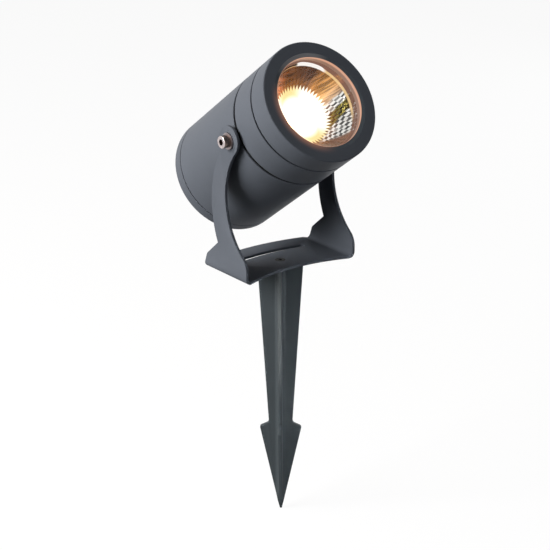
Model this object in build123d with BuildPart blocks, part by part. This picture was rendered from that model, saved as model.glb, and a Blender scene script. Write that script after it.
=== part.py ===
"""Garden spike spotlight: a tilting lamp head in a folded yoke, turning on a bladed ground spike.

Millimetres. The origin is the centre of the spike's top face, where the yoke's plate rests on it, at
soil level. +Z is up, and the lamp shines towards -Y and upwards at its rest tilt.
"""

from build123d import *

import os
from math import cos, radians, sin, sqrt

os.makedirs("parts", exist_ok=True)

# ---------------------------------------------------------------- clearances
running_clearance = 0.06  # radial, between a pin and the hole that turns on it
thread_clearance = 0.05  # radial, between a screw and its modelled thread hole
slip_clearance = 0.1  # radial, between a spigot and its bore
side_clearance = 0.05  # between flat faces that slide on each other
loose_clearance = 0.3  # between parts that only pass each other

# ---------------------------------------------------------------- ground spike
spike_turn = 50.2  # degrees from the pivots' line to the first pair of blades
blade_thickness = 2.9
blade_root_fillet = 3.0
spike_top_half_width = 16.0
spike_neck_half_width = 8.4
spike_neck_depth = 121.8
spike_barb_half_width = 15.0
spike_barb_depth = 124.9
spike_length = 191.1
spike_tip_half_width = 0.7
neck_fillet = 2.6
barb_fillet = 1.6

spike_screw_radius = 2.0
spike_screw_head_radius = 3.7
spike_screw_length = 17.0
spike_screw_socket = 2.5  # across flats
spike_screw_socket_depth = 1.4

# ---------------------------------------------------------------- yoke
sheet = 2.0
arm_gap = 2.3  # between each arm and the head
bend_radius = 5.0  # outside
pivot_height = 96.9  # above the plate's underside
pivot_forward = 5.7  # of the spike's axis
plate_rear_middle = 34.0
plate_rear_corner = 28.2
plate_front_middle = 15.2
plate_front_corner = 22.8
foot_rear = 24.8
foot_front = 24.2
slot_width = 4.8
slot_rear = 17.6
slot_end_rear = 14.8
slot_half_span = 29.6
arm_top_radius = 10.0
arm_front_meets = 220.0  # degrees round the arm's top, where the front edge leaves it
arm_rear_meets = 320.0  # degrees round the arm's top, where the rear edge leaves it
arm_front_bow = 4.8  # behind the pivot
arm_front_bow_height = 58.4
arm_rear_bow = 20.3  # behind the pivot
arm_rear_bow_height = 51.1
arm_notch = 14.0  # behind the pivot
arm_notch_height = 22.4
arm_flare = 27.0  # behind the pivot
arm_flare_height = 11.3
arm_knee_height = 15.0
arm_knee_fillet = 12.0
arm_neck_fillet = 9.0
arm_flare_fillet = 4.0

# ---------------------------------------------------------------- pivot hardware
pivot_screw_radius = 2.5
pivot_head_radius = 4.25
pivot_head_height = 5.0
pivot_head_round = 0.5
pivot_head_socket = 4.0  # across flats
pivot_head_socket_depth = 2.6
pivot_screw_reach = 16.0  # under the head
pivot_washer_radius = 5.6
pivot_washer_thickness = 1.0
pivot_spacer_radius = 6.5
pivot_face_radius = 5.0
pivot_face_height = 0.4  # flat face on the barrel, above the barrel's side

# ---------------------------------------------------------------- front of the head
beam_tilt = 35.6  # degrees above the horizon at rest
head_radius = 42.5
head_length = 128.4
pivot_depth = 46.5

bezel_length = 16.0
bezel_wall = 3.9
opening_chamfer_width = 2.7
opening_chamfer_depth = 1.0
ledge_depth = 5.2
front_edge_round = 0.9
ring_edge_round = 0.4

glass_inset = 2.6  # from the bezel's thread to the glass
glass_overlap = 4.5  # of the bezel's ledge over the glass
glass_thickness = 4.0
glass_edge_chamfer = 0.4
gasket_thickness = 0.8
gasket_lip = 0.6  # from the opening's edge to the gasket's inner edge

front_groove = 1.5
rear_groove = 2.5
groove_recess = 1.1  # from the head's side to the seal in the groove

optic_length = 21.2
optic_wall = 4.4
optic_neck_wall = 4.6
optic_neck_length = 9.0

reflector_rim_inset = 0.9  # from the bezel's opening
reflector_waist_share = 0.507  # of the way from the bottom's radius to the rim's
reflector_waist_drop = 13.0
reflector_bottom_radius = 9.5
reflector_drop = 19.6
reflector_wall = 1.2
reflector_flange = 1.2

# ---------------------------------------------------------------- light source and heat sink
led_board_side = 20.0
led_board_thickness = 1.0
led_field_radius = 8.5
led_field_thickness = 0.6
led_window_radius = 9.2
thermal_pad_thickness = 0.5
led_holder_radius = 20.5
led_holder_thickness = 2.8
led_screw_circle = 17.6
led_screw_radius = 1.5
led_screw_head_radius = 2.6
led_screw_head_height = 1.5
led_screw_length = 7.0

sink_plate_thickness = 7.0
sink_length = 23.0
sink_rim_wall = 7.5
fin_thickness = 2.0
fin_pitch = 8.0
fin_count = 7

# ---------------------------------------------------------------- barrel and rear cover
barrel_wall = 3.9
rear_cover_length = 8.9
rear_seam = 0.5
rear_seam_recess = 0.5
rear_edge_round = 2.2
cover_plate_thickness = 5.5
cover_spigot_length = 6.0
cover_spigot_wall = 3.0
cover_screw_count = 3
cover_boss_gap = 0.1  # between a screw boss and the cover's spigot, which its web bridges
cover_screw_turn = -90.0  # degrees, the first screw is the lowest
cover_screw_radius = 2.0
cover_screw_head_radius = 3.5
cover_screw_head_height = 4.0
cover_screw_head_sink = 0.2  # below the rear face
cover_screw_socket = 3.0  # across flats
cover_screw_socket_depth = 2.0
cover_screw_length = 18.0
cover_boss_radius = 4.4
barrel_boss_length = 8.0
barrel_boss_web = 6.0
well_radius = 14.0
well_depth = 8.0
well_wall = 3.0

# ---------------------------------------------------------------- cable gland
cable_bore_radius = 3.6
gland_thread_radius = 8.0
gland_thread_length = 9.0
gland_bore_radius = 4.2
gland_collar_across = 20.0
gland_collar_height = 4.5
gland_neck_radius = 7.2
gland_neck_height = 7.0
gland_neck_wall = 1.4
gland_ring_thickness = 1.0
gland_ring_width = 1.6
gland_cap_across = 19.0
gland_cap_height = 13.6
gland_cap_round = 3.5
gland_cap_lip = 5.5
locknut_across = 20.0
locknut_thickness = 3.0

# ---------------------------------------------------------------- driver
tray_drop = 14.0  # from the head's axis to the tray's top
tray_thickness = 2.0
tray_setback = 4.0  # in front of the barrel's screw bosses
tray_flange_height = 10.0
tray_edge_gap = 0.2
tray_screw_across = 20.0
tray_screw_drop = 10.0
tray_screw_radius = 1.5
tray_screw_head_radius = 2.6
tray_screw_head_height = 1.8
tray_screw_length = 7.0
tray_boss_radius = 3.5
board_width = 48.0
board_thickness = 1.6
board_spacer_radius = 2.5
board_spacer_height = 3.5
board_spacer_inset = 4.0
board_setback = 4.0  # behind the tray's flange
transformer_width = 16.0
transformer_height = 16.0
transformer_length = 15.0
transformer_across = 14.5
capacitor_radius = 4.5
capacitor_height = 17.0
capacitor_count = 3
capacitor_pitch = 10.0
capacitor_across = -9.5
capacitor_setback = 12.0  # behind the board's front edge
terminal_width = 24.0
terminal_height = 12.0
terminal_length = 9.0
terminal_across = -12.0
terminal_ways = 3
terminal_way_radius = 2.0
terminal_way_depth = 6.0

lead_radius = 0.9
lead_bend = 3.0
lead_hole_radius = 1.6
led_lead_inset = 4.3  # from the heat sink's rim to the leads
led_lead_grip = 3.0  # held in the holder's edge
led_lead_across = 4.0
led_lead_landing = 2.5  # behind the board's front edge
earth_screw_radius = 2.0
earth_screw_head_radius = 3.8
earth_screw_head_height = 2.4
earth_screw_length = 4.5
earth_screw_inset = 15.5  # from the cover's spigot to the earth screw, upwards
earth_tag_radius = 3.6
earth_tag_thickness = 0.8
earth_tag_width = 2.4
earth_tag_length = 7.0  # from the screw's centre to the tongue's end

# ---------------------------------------------------------------- worked out from the above
pivot_y = -pivot_forward
tilt = radians(beam_tilt)
beam = Vector(0, -cos(tilt), sin(tilt))
head_up = Vector(0, sin(tilt), cos(tilt))
pivot = Vector(0, pivot_y, pivot_height)
face_centre = pivot + beam * pivot_depth
head_axis = Axis(face_centre, beam)
# Half section of the head: X is the distance from the axis, Y the depth behind the front face.
head_section = Plane(origin=face_centre, x_dir=(1, 0, 0), z_dir=head_up)

bore_radius = head_radius - barrel_wall
glass_radius = head_radius - bezel_wall - glass_inset
opening_radius = glass_radius - glass_overlap
reflector_rim_radius = opening_radius - reflector_rim_inset
reflector_flare = reflector_rim_radius - reflector_bottom_radius
reflector_waist_radius = reflector_bottom_radius + reflector_waist_share * reflector_flare
spigot_radius = bore_radius - slip_clearance
spigot_inner = spigot_radius - cover_spigot_wall
cover_screw_circle = spigot_inner - cover_boss_radius - cover_boss_gap
sink_inner = spigot_radius - sink_rim_wall
led_lead_out = sink_inner - led_lead_inset
earth_screw_drop = spigot_inner - earth_screw_inset
bezel_bore_radius = head_radius - bezel_wall
neck_radius = bezel_bore_radius - slip_clearance
cavity_radius = head_radius - optic_wall
seal_inner_radius = max(bore_radius, bezel_bore_radius)
seal_radius = head_radius - groove_recess
glass_depth = ledge_depth + gasket_thickness
reflector_depth = glass_depth + glass_thickness
neck_depth = reflector_depth + reflector_flange
optic_depth = bezel_length + front_groove
optic_back = optic_depth + optic_length
barrel_depth = optic_back + rear_groove
seat_radius = glass_radius + slip_clearance
holder_depth = reflector_depth + reflector_drop + side_clearance
sink_depth = holder_depth + led_holder_thickness
pad_depth = sink_depth - thermal_pad_thickness
led_board_depth = pad_depth - led_board_thickness
sink_back = sink_depth + sink_length
fins_depth = sink_depth + sink_plate_thickness
cover_depth = head_length - rear_cover_length
barrel_back = cover_depth - rear_seam
cover_inside = head_length - cover_plate_thickness
spigot_depth = cover_depth - cover_spigot_length
well_floor = head_length - well_depth
well_inside = well_floor - well_wall
screw_seat = head_length - cover_screw_head_sink - cover_screw_head_height
collar_depth = well_floor + gland_ring_thickness
collar_back = collar_depth + gland_collar_height
neck_back = collar_back + gland_neck_height
cap_depth = collar_back + side_clearance
cap_back = cap_depth + gland_cap_height
cap_lip_depth = cap_back - gland_cap_lip
tray_back = spigot_depth - barrel_boss_length - tray_setback
tray_length = tray_back - sink_back
tray_bottom = -tray_drop - tray_thickness
tray_half_width = sqrt(bore_radius**2 - tray_bottom**2) - tray_edge_gap
board_front = sink_back + tray_thickness + board_setback
board_back = tray_back
board_length = board_back - board_front
board_top = -tray_drop + board_spacer_height + board_thickness
arm_inside = head_radius + arm_gap
yoke_half_width = arm_inside + sheet
arm_top = pivot_height + arm_top_radius
pivot_face = head_radius + pivot_face_height
washer_face = yoke_half_width + side_clearance
screw_face = washer_face + pivot_washer_thickness


def across(depth):
    """Plane square to the head's axis at this depth, facing the front, with its Y up."""
    return Plane(origin=face_centre - beam * depth, x_dir=(1, 0, 0), z_dir=beam)


def side_plane(distance):
    """Plane square to the pivot axis at this distance to the right."""
    return Plane(origin=(distance, pivot_y, pivot_height), x_dir=(0, 1, 0), z_dir=(1, 0, 0))


def head_point(right, up, depth):
    """Point given from the head's axis and its front face."""
    return face_centre + Vector(right, 0, 0) + head_up * up - beam * depth


def half_section(points):
    """Closed half section of a turned piece, from (radius, depth) points."""
    with BuildSketch(head_section) as section:
        with BuildLine():
            Polyline(points, close=True)
        make_face()
    return section.sketch


def ring_section(inner, outer, front, back):
    """Half section of a plain ring."""
    return half_section([(inner, front), (outer, front), (outer, back), (inner, back)])


def rims(part, radius, depth):
    """Circular edges of a turned piece, at this radius and depth."""
    centre = face_centre - beam * depth
    return [
        edge
        for edge in part.edges().filter_by(GeomType.CIRCLE)
        if abs(edge.radius - radius) < 0.01 and (edge.arc_center - centre).length < 0.01
    ]


def finish(builder, name):
    """Names a finished piece and writes its file."""
    builder.part.label = name
    export_step(builder.part, f"parts/{name}.step")


# ---------------------------------------------------------------- ground spike
def blade_outline(turn):
    """Outline of one pair of blades, in the upright plane turned this far about the spike's axis."""
    along = (cos(radians(turn)), sin(radians(turn)), 0)
    facing = (sin(radians(turn)), -cos(radians(turn)), 0)
    with BuildSketch(Plane(origin=(0, 0, -side_clearance), x_dir=along, z_dir=facing)) as outline:
        with BuildLine():
            Polyline(
                (0, 0),
                (spike_top_half_width, 0),
                (spike_neck_half_width, -spike_neck_depth),
                (spike_barb_half_width, -spike_barb_depth),
                (spike_tip_half_width, -spike_length),
                (0, -spike_length),
                close=True,
            )
        make_face()
        mirror(about=Plane.YZ)
        necks = [v for v in outline.vertices() if abs(v.Y + spike_neck_depth) < 0.01]
        fillet(necks, radius=neck_fillet)
        barbs = [v for v in outline.vertices() if abs(v.Y + spike_barb_depth) < 0.01]
        fillet(barbs, radius=barb_fillet)
    return outline.sketch


with BuildPart() as spike:
    with BuildSketch(Plane.XY.offset(-side_clearance)) as cross:
        Rectangle(2 * spike_top_half_width, blade_thickness, rotation=spike_turn)
        Rectangle(blade_thickness, 2 * spike_top_half_width, rotation=spike_turn)
        roots = [v for v in cross.vertices() if v.center().length < blade_thickness]
        fillet(roots, radius=blade_root_fillet)
    extrude(amount=-spike_length)
    for turn in (spike_turn, spike_turn + 90):
        extrude(
            blade_outline(turn), amount=2 * spike_top_half_width, both=True, mode=Mode.INTERSECT
        )
    with BuildSketch(Plane.XY):
        Circle(spike_screw_radius + thread_clearance)
    extrude(amount=-spike_screw_length, mode=Mode.SUBTRACT)
finish(spike, "spike")

with BuildPart() as spike_screw:
    with BuildSketch(Plane.XZ):
        with BuildLine():
            Polyline(
                (0, sheet),
                (spike_screw_head_radius, sheet),
                (spike_screw_radius, sheet - spike_screw_head_radius + spike_screw_radius),
                (spike_screw_radius, sheet - spike_screw_length),
                (0, sheet - spike_screw_length),
                close=True,
            )
        make_face()
    revolve(axis=Axis.Z)
    with BuildSketch(Plane.XY.offset(sheet)):
        RegularPolygon(radius=spike_screw_socket / 2, side_count=6, major_radius=False)
    extrude(amount=-spike_screw_socket_depth, mode=Mode.SUBTRACT)
finish(spike_screw, "spike_screw")


# ---------------------------------------------------------------- yoke
def on_arm_top(angle):
    """Point on the rim of the arm's round top, in the side view."""
    return (
        pivot_y + arm_top_radius * cos(radians(angle)),
        pivot_height + arm_top_radius * sin(radians(angle)),
    )


with BuildPart() as yoke:
    # The folded strip, seen from the front.
    bend_start = yoke_half_width - bend_radius
    with BuildSketch(Plane.XZ):
        with BuildLine():
            FilletPolyline(
                (-yoke_half_width, arm_top),
                (-yoke_half_width, 0),
                (yoke_half_width, 0),
                (yoke_half_width, arm_top),
                radius=bend_radius,
            )
            Line((yoke_half_width, arm_top), (-yoke_half_width, arm_top))
        make_face()
        with BuildLine():
            FilletPolyline(
                (-arm_inside, arm_top),
                (-arm_inside, sheet),
                (arm_inside, sheet),
                (arm_inside, arm_top),
                radius=bend_radius - sheet,
            )
            Line((arm_inside, arm_top), (-arm_inside, arm_top))
        make_face(mode=Mode.SUBTRACT)
    extrude(amount=2 * plate_rear_middle, both=True)
    # The arms' outline, seen from the side.
    front_top = on_arm_top(arm_front_meets)
    rear_top = on_arm_top(arm_rear_meets)
    front_bow = (pivot_y + arm_front_bow, arm_front_bow_height)
    rear_bow = (pivot_y + arm_rear_bow, arm_rear_bow_height)
    knee = (-foot_front, arm_knee_height)
    notch = (pivot_y + arm_notch, arm_notch_height)
    flare = (pivot_y + arm_flare, arm_flare_height)
    with BuildSketch(Plane.YZ) as side_view:
        with BuildLine():
            ThreePointArc(front_top, front_bow, knee)
            Polyline(
                knee,
                (-foot_front, -sheet),
                (plate_rear_middle + sheet, -sheet),
                (plate_rear_middle + sheet, sheet),
                (foot_rear, sheet),
                flare,
                notch,
            )
            ThreePointArc(notch, rear_bow, rear_top)
            Polyline(rear_top, (pivot_y, pivot_height), front_top)
        make_face()
        with Locations((pivot_y, pivot_height)):
            Circle(arm_top_radius)
        for corner, size in (
            (knee, arm_knee_fillet),
            (flare, arm_flare_fillet),
            (rear_top, arm_neck_fillet),
        ):
            fillet(side_view.vertices().sort_by_distance((*corner, 0))[0], radius=size)
    extrude(amount=yoke_half_width + sheet, both=True, mode=Mode.INTERSECT)
    # The plate's crescent, seen from above.
    rear_end = (bend_start, plate_rear_corner)
    front_end = (bend_start, -plate_front_corner)
    far_side = yoke_half_width + sheet
    with BuildSketch(Plane.XY.offset(-sheet)):
        with BuildLine():
            ThreePointArc((-bend_start, plate_rear_corner), (0, plate_rear_middle), rear_end)
            Polyline(
                rear_end,
                (arm_inside, foot_rear),
                (far_side, foot_rear),
                (far_side, -foot_front),
                (arm_inside, -foot_front),
                front_end,
            )
            ThreePointArc(front_end, (0, -plate_front_middle), (-bend_start, -plate_front_corner))
            Polyline(
                (-bend_start, -plate_front_corner),
                (-arm_inside, -foot_front),
                (-far_side, -foot_front),
                (-far_side, foot_rear),
                (-arm_inside, foot_rear),
                (-bend_start, plate_rear_corner),
            )
        make_face()
    extrude(amount=arm_top + 2 * sheet, mode=Mode.INTERSECT)
    # The curved slot, the countersunk hole for the spike and the two pivot holes.
    with BuildLine(mode=Mode.PRIVATE) as slot_line:
        ThreePointArc(
            (-slot_half_span, slot_end_rear), (0, slot_rear), (slot_half_span, slot_end_rear)
        )
    with BuildSketch(Plane.XY):
        SlotArc(slot_line.edge(), height=slot_width)
    extrude(amount=sheet, mode=Mode.SUBTRACT)
    with Locations((0, 0, sheet)):
        CounterSinkHole(
            radius=spike_screw_radius + running_clearance,
            counter_sink_radius=spike_screw_head_radius + running_clearance,
            depth=sheet,
            counter_sink_angle=90,
        )
    with BuildSketch(side_plane(0)):
        Circle(pivot_screw_radius + running_clearance)
    extrude(amount=yoke_half_width + sheet, both=True, mode=Mode.SUBTRACT)
finish(yoke, "yoke")


# ---------------------------------------------------------------- pivot hardware
with BuildPart() as pivot_screws:
    with BuildSketch(side_plane(screw_face)):
        Circle(pivot_head_radius)
    extrude(amount=pivot_head_height)
    fillet(pivot_screws.edges().group_by(Axis.X)[-1], radius=pivot_head_round)
    with BuildSketch(side_plane(screw_face)):
        Circle(pivot_screw_radius)
    extrude(amount=-pivot_screw_reach)
    with BuildSketch(side_plane(screw_face + pivot_head_height)):
        RegularPolygon(radius=pivot_head_socket / 2, side_count=6, major_radius=False)
    extrude(amount=-pivot_head_socket_depth, mode=Mode.SUBTRACT)
    mirror(about=Plane.YZ)
finish(pivot_screws, "pivot_screws")

with BuildPart() as pivot_washers:
    with BuildSketch(side_plane(washer_face)):
        Circle(pivot_washer_radius)
        Circle(pivot_screw_radius + thread_clearance, mode=Mode.SUBTRACT)
    extrude(amount=pivot_washer_thickness)
    mirror(about=Plane.YZ)
finish(pivot_washers, "pivot_washers")

with BuildPart() as pivot_spacers:
    with BuildSketch(side_plane(pivot_face)):
        Circle(pivot_spacer_radius)
        Circle(pivot_screw_radius + thread_clearance, mode=Mode.SUBTRACT)
    extrude(amount=arm_inside - side_clearance - pivot_face)
    mirror(about=Plane.YZ)
finish(pivot_spacers, "pivot_spacers")


# ---------------------------------------------------------------- front of the head
with BuildPart() as front_bezel:
    revolve(
        half_section(
            [
                (opening_radius, opening_chamfer_depth),
                (opening_radius + opening_chamfer_width, 0),
                (head_radius, 0),
                (head_radius, bezel_length),
                (bezel_bore_radius, bezel_length),
                (bezel_bore_radius, neck_depth - loose_clearance),
                (seat_radius, neck_depth - loose_clearance),
                (seat_radius, ledge_depth),
                (opening_radius, ledge_depth),
            ]
        ),
        axis=head_axis,
    )
    fillet(rims(front_bezel, head_radius, 0), radius=front_edge_round)
    fillet(rims(front_bezel, head_radius, bezel_length), radius=ring_edge_round)
finish(front_bezel, "front_bezel")

with BuildPart() as glass_gasket:
    revolve(
        ring_section(opening_radius + gasket_lip, glass_radius, ledge_depth, glass_depth),
        axis=head_axis,
    )
finish(glass_gasket, "glass_gasket")

with BuildPart() as front_glass:
    with BuildSketch(across(reflector_depth)):
        Circle(glass_radius)
    extrude(amount=glass_thickness)
    chamfer(front_glass.edges(), length=glass_edge_chamfer)
finish(front_glass, "front_glass")

with BuildPart() as bezel_seal:
    revolve(ring_section(seal_inner_radius, seal_radius, bezel_length, optic_depth), axis=head_axis)
finish(bezel_seal, "bezel_seal")

with BuildPart() as reflector:
    rim = (reflector_rim_radius, reflector_depth)
    waist = (reflector_waist_radius, reflector_depth + reflector_waist_drop)
    bottom = (reflector_bottom_radius, reflector_depth + reflector_drop)
    skin = reflector_wall / sqrt(2)
    outer_rim = (reflector_rim_radius + reflector_wall, neck_depth)
    outer_waist = (waist[0] + skin, waist[1] + skin)
    outer_bottom = (reflector_bottom_radius + reflector_wall, bottom[1])
    with BuildSketch(head_section):
        with BuildLine():
            ThreePointArc(rim, waist, bottom)
            Line(bottom, outer_bottom)
            ThreePointArc(outer_bottom, outer_waist, outer_rim)
            Polyline(outer_rim, (glass_radius, neck_depth), (glass_radius, reflector_depth), rim)
        make_face()
    revolve(axis=head_axis)
finish(reflector, "reflector")

with BuildPart() as optic_housing:
    neck_inner = neck_radius - optic_neck_wall
    neck_back_depth = neck_depth + optic_neck_length
    revolve(
        half_section(
            [
                (neck_inner, neck_depth),
                (neck_radius, neck_depth),
                (neck_radius, optic_depth),
                (head_radius, optic_depth),
                (head_radius, optic_back),
                (cavity_radius, optic_back),
                (cavity_radius, neck_back_depth),
                (neck_inner, neck_back_depth),
            ]
        ),
        axis=head_axis,
    )
    fillet(rims(optic_housing, head_radius, optic_depth), radius=ring_edge_round)
    fillet(rims(optic_housing, head_radius, optic_back), radius=ring_edge_round)
finish(optic_housing, "optic_housing")

with BuildPart() as optic_housing_seal:
    revolve(ring_section(seal_inner_radius, seal_radius, optic_back, barrel_depth), axis=head_axis)
finish(optic_housing_seal, "optic_housing_seal")


# ---------------------------------------------------------------- light source and heat sink
with BuildPart() as heat_sink:
    revolve(
        half_section(
            [
                (0, sink_depth),
                (cavity_radius - slip_clearance, sink_depth),
                (cavity_radius - slip_clearance, optic_back),
                (spigot_radius, optic_back),
                (spigot_radius, sink_back),
                (sink_inner, sink_back),
                (sink_inner, fins_depth),
                (0, fins_depth),
            ]
        ),
        axis=head_axis,
    )
    # Fins between the rims, and two bosses for the driver tray's screws.
    with BuildSketch(across(sink_back)):
        with GridLocations(fin_pitch, 0, fin_count, 1):
            Rectangle(fin_thickness, 2 * spigot_radius)
        with Locations((0, -tray_screw_drop)):
            with GridLocations(2 * tray_screw_across, 0, 2, 1):
                Circle(tray_boss_radius)
        Circle(sink_inner + fin_thickness / 2, mode=Mode.INTERSECT)
    extrude(amount=sink_back - fins_depth)
    with BuildSketch(across(sink_back)):
        with Locations((0, -tray_screw_drop)):
            with GridLocations(2 * tray_screw_across, 0, 2, 1):
                Circle(tray_screw_radius + thread_clearance)
    extrude(amount=tray_screw_length, mode=Mode.SUBTRACT)
    with BuildSketch(across(sink_depth)):
        with PolarLocations(led_screw_circle, 2, start_angle=45):
            Circle(led_screw_radius + thread_clearance)
    extrude(amount=-led_screw_length + led_holder_thickness, mode=Mode.SUBTRACT)
    with BuildSketch(across(fins_depth)):
        with Locations((0, led_lead_out)):
            with GridLocations(2 * led_lead_across, 0, 2, 1):
                Circle(lead_hole_radius)
    extrude(amount=sink_plate_thickness, mode=Mode.SUBTRACT)
    for side in (-1, 1):
        with BuildSketch(side_plane(side * head_radius)):
            Circle(pivot_screw_radius + thread_clearance)
        extrude(amount=side * (sink_inner - fin_thickness - head_radius), mode=Mode.SUBTRACT)
finish(heat_sink, "heat_sink")

with BuildPart() as thermal_pad:
    with BuildSketch(across(sink_depth)):
        Rectangle(led_board_side, led_board_side)
    extrude(amount=thermal_pad_thickness)
finish(thermal_pad, "thermal_pad")

with BuildPart() as led_substrate:
    with BuildSketch(across(pad_depth)):
        Rectangle(led_board_side, led_board_side)
    extrude(amount=led_board_thickness)
finish(led_substrate, "led_substrate")

with BuildPart() as led_phosphor:
    with BuildSketch(across(led_board_depth)):
        Circle(led_field_radius)
    extrude(amount=led_field_thickness)
finish(led_phosphor, "led_phosphor")

with BuildPart() as led_holder:
    with BuildSketch(across(sink_depth)):
        Circle(led_holder_radius)
        Circle(led_window_radius, mode=Mode.SUBTRACT)
        with PolarLocations(led_screw_circle, 2, start_angle=45):
            Circle(led_screw_radius + thread_clearance, mode=Mode.SUBTRACT)
    extrude(amount=led_holder_thickness)
    with BuildSketch(across(sink_depth)):
        pocket = led_board_side + 2 * slip_clearance
        Rectangle(pocket, pocket)
    extrude(amount=sink_depth - led_board_depth, mode=Mode.SUBTRACT)
    # The two leads grip in holes drilled from the edge.
    grip_up = sqrt(led_holder_radius**2 - led_lead_across**2) - led_lead_grip
    lead_plane = Plane(
        origin=head_point(0, grip_up, holder_depth + led_holder_thickness / 2),
        x_dir=(1, 0, 0),
        z_dir=head_up,
    )
    with BuildSketch(lead_plane):
        with GridLocations(2 * led_lead_across, 0, 2, 1):
            Circle(lead_radius + thread_clearance)
    extrude(amount=2 * led_lead_grip, mode=Mode.SUBTRACT)
finish(led_holder, "led_holder")

with BuildPart() as led_holder_screws:
    with BuildSketch(across(holder_depth)):
        with PolarLocations(led_screw_circle, 2, start_angle=45):
            Circle(led_screw_head_radius)
    extrude(amount=led_screw_head_height)
    with BuildSketch(across(holder_depth)):
        with PolarLocations(led_screw_circle, 2, start_angle=45):
            Circle(led_screw_radius)
    extrude(amount=-led_screw_length)
finish(led_holder_screws, "led_holder_screws")


# ---------------------------------------------------------------- barrel and rear cover
def cover_bosses(trim_radius, depth, length):
    """Three screw bosses with webs out to the wall, starting at this depth and running forward."""
    with BuildSketch(across(depth)) as bosses:
        with PolarLocations(cover_screw_circle, cover_screw_count, start_angle=cover_screw_turn):
            Circle(cover_boss_radius)
            with Locations((cover_boss_radius, 0)):
                Rectangle(2 * cover_boss_radius, barrel_boss_web)
        Circle(trim_radius, mode=Mode.INTERSECT)
    return extrude(bosses.sketch, amount=length, mode=Mode.PRIVATE)


def cover_screw_bars(radius, depth, length):
    """Three round bars on the cover screws' circle, from this depth forward."""
    with BuildSketch(across(depth)) as bars:
        with PolarLocations(cover_screw_circle, cover_screw_count, start_angle=cover_screw_turn):
            Circle(radius)
    return extrude(bars.sketch, amount=length, mode=Mode.PRIVATE)


with BuildPart() as barrel:
    revolve(ring_section(bore_radius, head_radius, barrel_depth, barrel_back), axis=head_axis)
    fillet(rims(barrel, head_radius, barrel_depth), radius=ring_edge_round)
    fillet(rims(barrel, head_radius, barrel_back), radius=ring_edge_round)
    add(cover_bosses(bore_radius + slip_clearance, spigot_depth, barrel_boss_length))
    add(
        cover_screw_bars(cover_screw_radius + thread_clearance, spigot_depth, barrel_boss_length),
        mode=Mode.SUBTRACT,
    )
    # A flat round face at each pivot, and the screw's hole through it.
    for side in (-1, 1):
        with BuildSketch(side_plane(side * pivot_face)):
            Circle(pivot_face_radius)
        extrude(amount=-side * barrel_wall / 2)
        with BuildSketch(side_plane(side * pivot_face)):
            Circle(pivot_screw_radius + thread_clearance)
        extrude(amount=-side * 2 * barrel_wall, mode=Mode.SUBTRACT)
finish(barrel, "barrel")

with BuildPart() as rear_cover_seal:
    revolve(
        ring_section(bore_radius, head_radius - rear_seam_recess, barrel_back, cover_depth),
        axis=head_axis,
    )
finish(rear_cover_seal, "rear_cover_seal")

with BuildPart() as rear_cover:
    gland_hole = gland_thread_radius + thread_clearance
    revolve(
        half_section(
            [
                (gland_hole, well_inside),
                (well_radius + well_wall, well_inside),
                (well_radius + well_wall, cover_inside),
                (spigot_inner, cover_inside),
                (spigot_inner, spigot_depth),
                (spigot_radius, spigot_depth),
                (spigot_radius, cover_depth),
                (head_radius, cover_depth),
                (head_radius, head_length),
                (well_radius, head_length),
                (well_radius, well_floor),
                (gland_hole, well_floor),
            ]
        ),
        axis=head_axis,
    )
    fillet(rims(rear_cover, head_radius, head_length), radius=rear_edge_round)
    add(cover_bosses(spigot_radius - slip_clearance, cover_inside, cover_inside - spigot_depth))
    add(
        cover_screw_bars(
            cover_screw_radius + thread_clearance, head_length, head_length - spigot_depth
        ),
        mode=Mode.SUBTRACT,
    )
    add(
        cover_screw_bars(
            cover_screw_head_radius + slip_clearance, head_length, head_length - screw_seat
        ),
        mode=Mode.SUBTRACT,
    )
    earth_across = terminal_across - terminal_width / terminal_ways
    with BuildSketch(across(cover_inside)):
        with Locations((earth_across, -earth_screw_drop)):
            Circle(earth_screw_radius + thread_clearance)
    extrude(amount=-earth_screw_length, mode=Mode.SUBTRACT)
finish(rear_cover, "rear_cover")

with BuildPart() as rear_cover_screws:
    head_back = screw_seat + cover_screw_head_height
    add(cover_screw_bars(cover_screw_head_radius, head_back, cover_screw_head_height))
    add(cover_screw_bars(cover_screw_radius, screw_seat, cover_screw_length))
    with BuildSketch(across(head_back)):
        with PolarLocations(cover_screw_circle, cover_screw_count, start_angle=cover_screw_turn):
            RegularPolygon(radius=cover_screw_socket / 2, side_count=6, major_radius=False)
    extrude(amount=cover_screw_socket_depth, mode=Mode.SUBTRACT)
finish(rear_cover_screws, "rear_cover_screws")


# ---------------------------------------------------------------- cable gland
with BuildPart() as gland_body:
    with BuildSketch(across(collar_back)):
        RegularPolygon(radius=gland_collar_across / 2, side_count=6, major_radius=False)
    extrude(amount=gland_collar_height)
    with BuildSketch(across(collar_depth)):
        Circle(gland_thread_radius)
    extrude(amount=gland_thread_length)
    with BuildSketch(across(collar_back)):
        Circle(gland_neck_radius)
    extrude(amount=-gland_neck_height)
    with BuildSketch(across(neck_back)):
        Circle(gland_neck_radius - gland_neck_wall)
    extrude(amount=gland_neck_height, mode=Mode.SUBTRACT)
    with BuildSketch(across(collar_back)):
        Circle(gland_bore_radius)
    extrude(amount=gland_collar_height + gland_thread_length, mode=Mode.SUBTRACT)
finish(gland_body, "gland_body")

with BuildPart() as gland_o_ring:
    revolve(
        ring_section(gland_hole, gland_hole + gland_ring_width, well_floor, collar_depth),
        axis=head_axis,
    )
finish(gland_o_ring, "gland_o_ring")

with BuildPart() as gland_seal:
    seal_outer = gland_neck_radius - gland_neck_wall - thread_clearance
    revolve(
        ring_section(cable_bore_radius, seal_outer, collar_back, cap_lip_depth), axis=head_axis
    )
finish(gland_seal, "gland_seal")

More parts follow.
